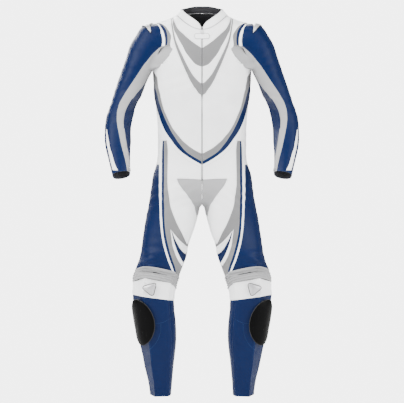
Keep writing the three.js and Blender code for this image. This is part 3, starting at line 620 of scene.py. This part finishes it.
def borders(sheet):
    """Closed rows of (point, direction onto the sheet) round a sheet of faces."""
    members = set(sheet)
    step = {}
    for face in sheet:
        for loop in face.loops:
            if all(other is face or other not in members for other in loop.edge.link_faces):
                step[loop.vert] = (loop.link_loop_next.vert, face)
    rows = []
    while step:
        start = next(iter(step))
        vert, row = start, []
        while vert in step:
            following, face = step.pop(vert)
            middle = (vert.co + following.co) / 2
            along = following.co - vert.co
            row.append((middle, face.normal.cross(along).normalized()))
            vert = following
        if len(row) >= LEAST_BORDER:
            rows.append(row)
    return rows


surfaces = {name: Surface(name) for name in PANELS}


# Stitches


STITCH = 0.0038  # length of one stitch
STITCH_PITCH = 0.0056
THREAD = 0.0005  # radius
STITCH_RISE = 0.0003  # its middle stands this far out, and its ends are sunk as far
STITCH_INSET = 0.003  # the row's distance from the panel's edge
ROW_GAP = 0.012  # rows break where their points are farther apart
CORNER_SHARE = 0.85  # points that a corner brings nearer to the border than this share of the inset go
LEAST_ROW = 3  # points of a row of stitches


def round_line(name, look, sides):
    """A piece that draws each of its lines as a round thread or cord, as thick as its points say."""
    curve = bpy.data.curves.new(name, "CURVE")
    curve.dimensions = "3D"
    curve.bevel_depth, curve.bevel_resolution = 1, sides
    curve.materials.append(look)
    piece = bpy.data.objects.new(name, curve)
    bpy.context.scene.collection.objects.link(piece)
    return fixed(piece)


def draw(piece, radius, points, closed=False):
    line = piece.data.splines.new("POLY")
    line.points.add(len(points) - 1)
    line.points.foreach_set("co", [value for point in points for value in (*point, 1)])
    line.points.foreach_set("radius", [radius] * len(points))
    line.use_cyclic_u = closed
    line.use_smooth = True


def evenly_along(points, pitch):
    """Points and directions at even steps along an open line of points."""
    points = np.array(points)
    steps = np.linalg.norm(np.diff(points, axis=0), axis=1)
    along = np.concatenate([[0], np.cumsum(steps)])
    count = int(along[-1] / pitch)
    marks = (np.arange(count) + 0.5) * along[-1] / max(count, 1)

    def at(marks):
        return np.column_stack([np.interp(marks, along, points[:, axis]) for axis in range(3)])

    return at(marks), at(marks + pitch / 4) - at(marks - pitch / 4)


def sew(name, rows, surface, thread):
    """Lays stitches along rows of points, with both ends of each sunk into the panel."""
    piece = round_line(name, thread, 0)
    for row in rows:
        for middle, along in zip(*evenly_along(row, STITCH_PITCH)):
            point, normal = surface.nearest(Vector(middle))
            half = Vector(along).normalized() * STITCH / 2
            sunk = normal * STITCH_RISE
            draw(piece, THREAD, (point - half - sunk, point + sunk, point + half - sunk))


def border_rows(surface, inset):
    """Rows of points on the panel at one distance from its border."""
    tree = tree_of([middle for row in surface.borders for middle, _ in row])
    rows = []
    for row in surface.borders:
        kept = []
        for middle, onto in row + row[:1]:
            point = surface.nearest(middle + onto * inset)[0]
            if tree.find(point)[2] < inset * CORNER_SHARE:
                continue
            if kept and (point - kept[-1]).length > ROW_GAP:
                rows.append(kept)
                kept = []
            kept.append(point)
        rows.append(kept)
    return [row for row in rows if len(row) >= LEAST_ROW]


for name, look in PANELS.items():
    rows = border_rows(surfaces[name], STITCH_INSET)
    sew(f"{name}_stitches", rows, surfaces[name], THREADS[look])


def photo_line(points, side):
    """Photo pixels of the image's left half as (x, z) of one side."""
    turn = 1 if side == "L" else -1
    across, up = PHOTO_MIDDLE[0] * PHOTO_PIXEL, PHOTO_TOP * PHOTO_PIXEL
    return [((across - x * PHOTO_PIXEL) * turn, up - y * PHOTO_PIXEL) for x, y in points]


LINE_STEPS = 8


def smooth_line(points, steps=LINE_STEPS):
    """A round line through points, with so many steps between each two."""
    points = np.array(points, float)
    along = np.concatenate([[0], np.cumsum(np.linalg.norm(np.diff(points, axis=0), axis=1))])
    marks = np.linspace(0, along[-1], steps * (len(points) - 1) + 1)
    slopes = np.gradient(points, along, axis=0)
    rounded = []
    for mark in marks:
        index = min(int(np.searchsorted(along, mark, "right")) - 1, len(points) - 2)
        span = along[index + 1] - along[index]
        t = (mark - along[index]) / span
        first, second = points[index], points[index + 1]
        eased = (1 + 2 * t) * (1 - t) ** 2 * first + t * t * (3 - 2 * t) * second
        bent = t * (1 - t) ** 2 * slopes[index] - t * t * (1 - t) * slopes[index + 1]
        rounded.append(eased + span * bent)
    return rounded


# Seams inside a panel, as points of the photo
SHIN_SEAMS = {
    "across": [(175.2, 313.9), (168.5, 319.5), (160.9, 322.9), (153.8, 323.4)],
    "round": [(160.9, 323.8), (160.6, 331), (158.2, 338.9), (149.3, 349.6), (141.3, 351.8)],
}
OVAL_SEAM = [
    (158, 121), (161.6, 131.5), (170, 144.3), (175.2, 150.4),
    (182.6, 156.8), (191.7, 162.8), (200.6, 167.2),
]


def drawn_seam(name, line, panel_name, thread, side):
    surface = surfaces[f"{panel_name}_{side}"]
    row = [surface.seen(x, z)[0] for x, z in smooth_line(photo_line(line, side))]
    sew(f"{name}_{side}", [row], surface, THREADS[thread])


for side in "LR":
    for part, line in SHIN_SEAMS.items():
        drawn_seam(f"shin_seam_{part}", line, "shin", "blue", side)
    drawn_seam("oval_seam", OVAL_SEAM, "thigh_front", "white", side)


# Coloured strips laid on the panels


LAID_HEIGHT = 0.0005  # its outer face stands this far over the panel
LAID_THICK = 0.0006
STRIP_STEPS = 4

# Each strip: panels under it, look, and the photo points of its two long edges, from its top to its end
STRIPS = {
    "shoulder_white": (
        ("shoulder_band",),
        "white",
        [
            (157.4, 24.4), (158, 26.5), (158.8, 29), (160.2, 32),
            (161.3, 35.3), (161.8, 38.5), (161.9, 42), (161.3, 46),
        ],
        [
            (158.2, 23.8), (160.2, 26.2), (162, 29), (163.4, 32),
            (164.4, 35.3), (165, 38.5), (165.1, 42), (164.8, 46),
        ],
    ),
    "shoulder_blue": (
        ("shoulder_band",),
        "blue",
        [
            (158.5, 23.4), (160.2, 26), (162.5, 29), (163.9, 32),
            (164.8, 35.3), (165.3, 38.5), (165.4, 42), (165.2, 45.2),
        ],
        [
            (160.6, 23.2), (163, 26), (165.3, 29), (166.6, 32),
            (167.2, 35.3), (167.5, 38.5), (167.5, 42), (166.9, 45.2),
        ],
    ),
    "forearm_flash": (
        ("sleeve_outer",),
        "white",
        [
            (106.3, 129.5), (106.3, 136), (106.6, 142), (107.6, 148),
            (108.9, 154), (110.1, 160), (111.6, 166), (112.7, 170.3),
        ],
        [
            (106.8, 129.3), (107.9, 136), (109, 142), (110, 148),
            (112, 154), (113.6, 160), (115.7, 166), (118, 170.3),
        ],
    ),
    "thigh_white_low": (
        ("stripe_grey", "thigh_front"),
        "white",
        [
            (170.5, 229.5), (171, 234), (171.5, 238), (172.2, 244),
            (173.8, 250), (176, 256), (179, 262), (182.4, 267),
        ],
        [
            (170.8, 229.5), (172, 234), (172.9, 238), (174.6, 244),
            (176.7, 250), (179.4, 256), (182.8, 262), (185.6, 265.5),
        ],
    ),
    "thigh_blue": (
        ("stripe_grey", "thigh_front"),
        "blue",
        [
            (170.9, 229.5), (172.1, 234), (173, 238), (174.8, 244),
            (176.9, 250), (179.6, 256), (183, 262), (184.4, 264.5),
        ],
        [
            (171.1, 229.4), (172.9, 234), (174.2, 238), (177.2, 244),
            (180.8, 250), (184.4, 253.5), (188, 255), (190, 256),
        ],
    ),
    "thigh_white_high": (
        ("stripe_grey", "thigh_front"),
        "white",
        [
            (171.3, 231), (173.1, 234), (174.4, 238), (177.4, 244),
            (181, 249.8), (184.4, 253), (188, 254.6),
        ],
        [
            (171.6, 230.8), (174.2, 234), (177.6, 238), (182, 242.5),
            (186, 245.7), (189, 247.6), (192, 249),
        ],
    ),
}


def strip(name, under, look, left, right, side):
    """A thin piece laid on a panel where the front view shows it, cut off where the panel turns away."""
    under = [f"{panel_name}_{side}" for panel_name in under]
    surface = surfaces[under[0]] if len(under) == 1 else Surface(*under)
    edges = zip(*(smooth_line(photo_line(line, side), STRIP_STEPS) for line in (left, right)))
    edges = [pair for pair in edges if any(surface.hit(*end)[0] is not None for end in pair)]
    lefts = [first + (second - first) * surface.reach(first, second) for first, second in edges]
    rights = [second + (first - second) * surface.reach(second, first) for first, second in edges]
    rows = len(edges) - 1
    shape = bmesh.new()
    bmesh.ops.create_grid(shape, x_segments=STRIP_STEPS, y_segments=rows, size=0.5)
    for vert in shape.verts:
        row = round((vert.co.y + 0.5) * rows)
        x, z = lefts[row] + (rights[row] - lefts[row]) * (vert.co.x + 0.5)
        point, normal = surface.seen(x, z)
        vert.co = point + normal * LAID_HEIGHT
    bmesh.ops.remove_doubles(shape, verts=shape.verts, dist=MERGE)
    bmesh.ops.recalc_face_normals(shape, faces=shape.faces)
    if sum(face.normal.y * face.calc_area() for face in shape.faces) > 0:
        bmesh.ops.reverse_faces(shape, faces=shape.faces)
    area = sum(face.calc_area() for face in shape.faces)
    length = float(np.linalg.norm(np.diff(np.array(lefts), axis=0), axis=1).sum())
    width = max(LEAST_WIDTH, area / length * CUT_ROOM)
    piece = finished(shape, f"{name}_{side}", [LOOKS[look]])
    modifier(piece, "SOLIDIFY", thickness=LAID_THICK, offset=-1)
    fixed(piece)


for name, (under, look, left, right) in STRIPS.items():
    for side in "LR":
        strip(name, under, look, left, right, side)


# Hard pieces


HARD_JOIN_TURN = 0.3  # as JOIN_TURN, for hard pieces
HARD_CORNER = math.radians(35)
MOULDED_EDGE, TAB_EDGE, PULL_EDGE, TAPE_EDGE = 0.0008, 0.0004, 0.0003, 0.0002


def hard(name, look, edge=MOULDED_EDGE):
    """A hard piece with its CAD node's form and softened edges."""
    shape = merged(name)
    angles = {"angle_face_threshold": HARD_JOIN_TURN, "angle_shape_threshold": JOIN_SHAPE}
    bmesh.ops.join_triangles(shape, faces=shape.faces, **angles)
    piece = finished(shape, f"{name}_piece", [LOOKS[look]])
    modifier(piece, "BEVEL", width=edge, segments=3, limit_method="ANGLE", angle_limit=HARD_CORNER)
    modifier(piece, "WEIGHTED_NORMAL", keep_sharp=False)
    fixed(piece, nodes[name]["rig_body"])
    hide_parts(name)
    return piece


for side in "LR":
    hard(f"shoulder_cup_{side}", "cup")
    hard(f"knee_cup_{side}", "cup")
    hard(f"knee_slider_{side}", "slider")
    hard(f"cuff_slider_{side}", "metal", TAB_EDGE)
    hard(f"cuff_pull_{side}", "metal", PULL_EDGE)
hard("zip_slider", "metal", TAB_EDGE)
hard("zip_pull", "metal", PULL_EDGE)
hard("zip_tape", "tape", TAPE_EDGE)
hard("stay_tab", "white", TAB_EDGE)


def outline(name):
    """The border of a hard piece's outer face, as points."""
    shape = merged(name)
    rows = borders(outer_sheet(shape, limb_of(name), WALL_CORNER))
    shape.free()
    return [row[0] for row in max(rows, key=len)]


RIM = 0.0015  # radius of the dark line round cups and sliders
TAB_PIPING = 0.0007
COLLAR_PIPING = 0.0009
CORD_SIDES = 2  # roundness of rims and piping
RIMMED = {"shoulder_cup": "cup_plastic", "knee_cup": "cup_plastic", "knee_slider": "slider_plastic"}
LOWER_EDGE = 0.3  # border points whose way onto the collar rises more than this are on its lower edge

for side in "LR":
    for name, slot in RIMMED.items():
        rim = round_line(f"{name}_rim_{side}", LOOKS["rim"], CORD_SIDES)
        draw(rim, RIM, outline(f"{name}_{side}"), True)
piping = round_line("stay_tab_piping", LOOKS["piping"], CORD_SIDES)
draw(piping, TAB_PIPING, outline("stay_tab"), True)

collar_borders = surfaces["collar"].borders
collar_seam = [point for row in collar_borders for point, onto in row if onto.z > LOWER_EDGE]
collar_seam.sort(key=lambda point: math.atan2(point.x, -point.y))
piping = round_line("collar_piping", LOOKS["piping"], CORD_SIDES)
draw(piping, COLLAR_PIPING, collar_seam)

TOOTH_PITCH = 0.0028
TOOTH_OFFSET = 0.0006  # from the zip's middle, and the two sides' teeth alternate
TOOTH = Matrix.Diagonal((0.0015, 0.0012, 0.0015, 1))
ZIP_TEETH = (-0.076, -0.586)  # heights of the first and the last tooth
tape = BVHTree.FromBMesh(merged("zip_tape"))
teeth = bmesh.new()
for index in range(int((ZIP_TEETH[0] - ZIP_TEETH[1]) / TOOTH_PITCH)):
    for side, offset in ((-TOOTH_OFFSET, 0.0), (TOOTH_OFFSET, TOOTH_PITCH / 2)):
        height = ZIP_TEETH[0] - index * TOOTH_PITCH - offset
        point, normal, _, _ = tape.ray_cast(Vector((side, -1, height)), Vector((0, 1, 0)))
        if point is not None:
            turn = normal.to_track_quat("-Y", "Z").to_matrix().to_4x4()
            bmesh.ops.create_cube(teeth, size=1, matrix=Matrix.Translation(point) @ turn @ TOOTH)
fixed(finished(teeth, "zip_teeth", [LOOKS["metal"]], smooth=False))


# Floor, light and camera


FLOOR_DROP = 0.02  # below the ankles
FLOOR_SIZE = 6
backdrop = bmesh.new()
level = Matrix.Translation((0, 0, cad_low.z - FLOOR_DROP))
bmesh.ops.create_grid(backdrop, x_segments=1, y_segments=1, size=FLOOR_SIZE, matrix=level)
finished(backdrop, "floor", [moulded("studio floor", (0.86, 0.86, 0.86), 0.7)])


def lamp(name, place, aim, size, power):
    light = bpy.data.lights.new(name, "AREA")
    light.shape, light.size, light.energy = "DISK", size, power
    holder = bpy.data.objects.new(name, light)
    holder.location = place
    holder.rotation_euler = (Vector(aim) - Vector(place)).to_track_quat("-Z", "Y").to_euler()
    bpy.context.scene.collection.objects.link(holder)


MIDDLE = Vector((0, 0, (PHOTO_TOP - PHOTO_MIDDLE[1]) * PHOTO_PIXEL))
lamp("key", (-3.4, -2.4, 1.6), MIDDLE, 4.2, 520)
lamp("fill", (3.6, -2.2, 0.2), MIDDLE, 4.6, 380)
lamp("top", (0, -1.6, 3.4), MIDDLE, 3.2, 220)
lamp("back", (-1.2, 3.2, 1.4), MIDDLE, 3.2, 280)

AMBIENT = 0.4  # light that the studio's walls give back
WALLS = 5.0  # how bright the walls are where the camera sees them
world = bpy.data.worlds.new("studio")
world.use_nodes = True
walls = Nodes(world.node_tree)
to_camera = Value(walls, walls.add("LightPath").outputs["Is Camera Ray"])
strength = to_camera * (WALLS - AMBIENT) + AMBIENT
light = walls.add("Background", {"Color": (1, 1, 1, 1), "Strength": strength})
walls.link(light.outputs["Background"], walls.add("OutputWorld").inputs["Surface"])
bpy.context.scene.world = world

VIEW_DISTANCE = 4
camera = bpy.data.cameras.new("camera")
camera.type = "ORTHO"
camera.ortho_scale = PHOTO_WIDTH * PHOTO_PIXEL
viewer = bpy.data.objects.new("camera", camera)
viewer.location = MIDDLE + Vector((0, -VIEW_DISTANCE, 0))
viewer.rotation_euler = (math.pi / 2, 0, 0)
bpy.context.scene.collection.objects.link(viewer)
bpy.context.scene.camera = viewer
